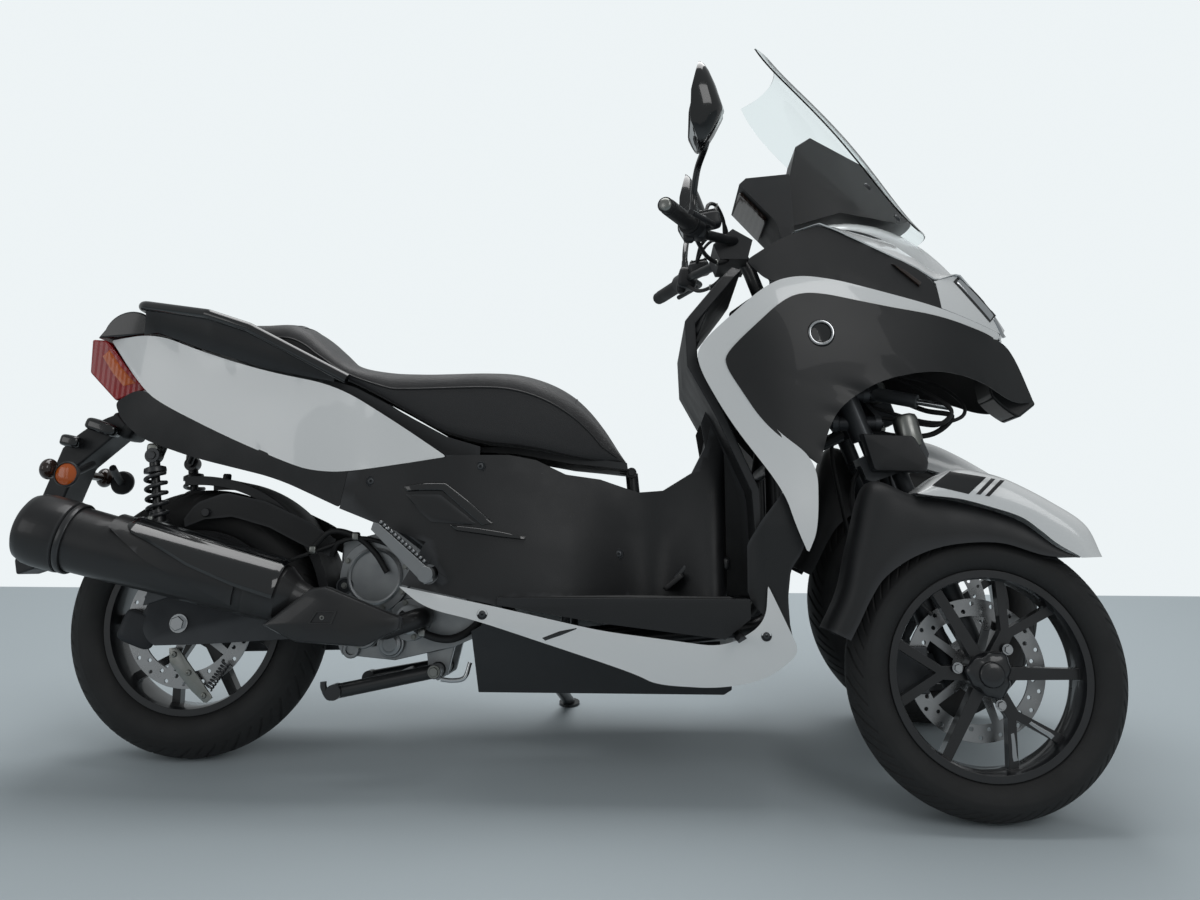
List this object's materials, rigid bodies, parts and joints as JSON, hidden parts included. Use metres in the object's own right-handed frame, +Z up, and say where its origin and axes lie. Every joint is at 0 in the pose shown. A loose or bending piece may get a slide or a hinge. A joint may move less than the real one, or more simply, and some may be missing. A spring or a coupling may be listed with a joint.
{
  "type": "leaning three-wheeled scooter",
  "caption": "Leaning scooter with paired front wheels on a tilt linkage, one driven rear wheel, stepped seat and tall screen, parked on its side stand.",
  "frame": {"origin": "on the floor under the rear tyre's contact", "axes": "+X forward, +Y to the rider's left, +Z up"},
  "size_m": [2.261, 0.9812, 1.532],
  "materials": {
    "white_paint": "gloss pearl white painted plastic",
    "gloss_black": "gloss black plastic",
    "matte_black": "grained matte black plastic",
    "frame_paint": "black painted steel",
    "cast_aluminium": "cast aluminium, silver and grey",
    "wheel_paint": "satin black painted cast wheel",
    "tyre_rubber": "tyre rubber",
    "disc_steel": "ground stainless steel",
    "seat_cover": "black grained seat cover with stitched seams",
    "grip_rubber": "black grip rubber",
    "control_plastic": "satin black moulded plastic",
    "lamp_lens": "clear and red lamp lenses",
    "clear_screen": "clear polycarbonate"
  },
  "bodies": {
    "frame": {"main_frame": "frame_paint", "tilt_arms": "frame_paint", "side_tubes": "frame_paint", "engine": "cast_aluminium", "drive_case": "cast_aluminium", "swingarm": "frame_paint", "exhaust": "frame_paint", "rear_shocks": "frame_paint", "rear_mudguard": "matte_black", "plate_carrier": "matte_black", "rear_indicators": "matte_black", "tail_lamp": "lamp_lens", "tail_top": "matte_black", "tail_panels": "white_paint", "tail_lower_cover": "matte_black", "side_covers": "matte_black", "footboards": "matte_black", "side_skirts": "white_paint", "belly_pan": "matte_black", "leg_shield": "matte_black", "shield_panels": "gloss_black", "fairing_panels": "white_paint", "nose_cowl": "white_paint", "nose_inserts": "gloss_black", "front_beak": "gloss_black", "headlamps": "lamp_lens", "windshield": "clear_screen", "screen_mount": "gloss_black", "dash": "matte_black", "grab_rail": "frame_paint", "storage_tub": "matte_black", "passenger_pegs": "cast_aluminium"},
    "steering_bar": {"handlebar": "frame_paint", "bar_cover": "matte_black", "grips": "grip_rubber", "hand_controls": "control_plastic", "mirrors": "control_plastic"},
    "seat": {"seat_cushion": "seat_cover", "seat_pan": "matte_black"},
    "side_stand": {"side_stand": "frame_paint"},
    "centre_stand": {"centre_stand": "frame_paint"},
    "rear_wheel": {"rear_tyre": "tyre_rubber", "rear_rim": "wheel_paint", "rear_disc": "disc_steel"},
    "right_front_end": {"fork_right": "cast_aluminium", "caliper_right": "cast_aluminium", "fender_right": "matte_black", "fender_cap_right": "white_paint"},
    "right_front_wheel": {"front_tyre_right": "tyre_rubber", "front_rim_right": "wheel_paint", "front_disc_right": "disc_steel"},
    "left_front_end": {"fork_left": "cast_aluminium", "caliper_left": "cast_aluminium", "fender_left": "matte_black", "fender_cap_left": "white_paint"},
    "left_front_wheel": {"front_tyre_left": "tyre_rubber", "front_rim_left": "wheel_paint", "front_disc_left": "disc_steel"}
  },
  "joints": [
    {"name": "steering", "type": "hinge", "parent": "frame", "child": "steering_bar", "pos_m": [1.25, 0.2008, 0.87535], "axis": [-0.342, 0.2273, 0.9118], "range_deg": [-30, 30]},
    {"name": "right_knuckle", "type": "hinge", "parent": "frame", "child": "right_front_end", "pos_m": [1.56764, -0.10734, 0.23694], "axis": [-0.342, 0.2273, 0.9118], "range_deg": [-31, 31]},
    {"name": "right_front_spin", "type": "hinge", "parent": "right_front_end", "child": "right_front_wheel", "pos_m": [1.595, -0.18496, 0.2563], "axis": [0, 0.9703, -0.2419], "continuous": true},
    {"name": "left_knuckle", "type": "hinge", "parent": "frame", "child": "left_front_end", "pos_m": [1.56764, 0.20024, 0.27565], "axis": [-0.342, 0.2273, 0.9118], "range_deg": [-31, 31]},
    {"name": "left_front_spin", "type": "hinge", "parent": "left_front_end", "child": "left_front_wheel", "pos_m": [1.595, 0.27786, 0.2563], "axis": [0, 0.9703, -0.2419], "continuous": true},
    {"name": "rear_spin", "type": "hinge", "parent": "frame", "child": "rear_wheel", "pos_m": [0, 0.04984, 0.26988], "axis": [0, 0.9703, -0.2419], "continuous": true},
    {"name": "seat_hinge", "type": "hinge", "parent": "frame", "child": "seat", "pos_m": [0.925, 0.12628, 0.57649], "axis": [0, 0.9703, -0.2419], "range_deg": [0, 55]},
    {"name": "side_stand_fold", "type": "hinge", "parent": "frame", "child": "side_stand", "pos_m": [0.74, 0.15129, 0.15595], "axis": [0.1815, 0.6678, 0.7219], "range_deg": [0, 85]},
    {"name": "centre_stand_fold", "type": "hinge", "parent": "frame", "child": "centre_stand", "pos_m": [0.527, 0.02806, 0.18255], "axis": [0, 0.9703, -0.2419], "range_deg": [-75, 0]}
  ],
  "couplings": [
    {"joint": "right_knuckle", "follows": "steering", "ratio": 1},
    {"joint": "left_knuckle", "follows": "steering", "ratio": 1}
  ]
}
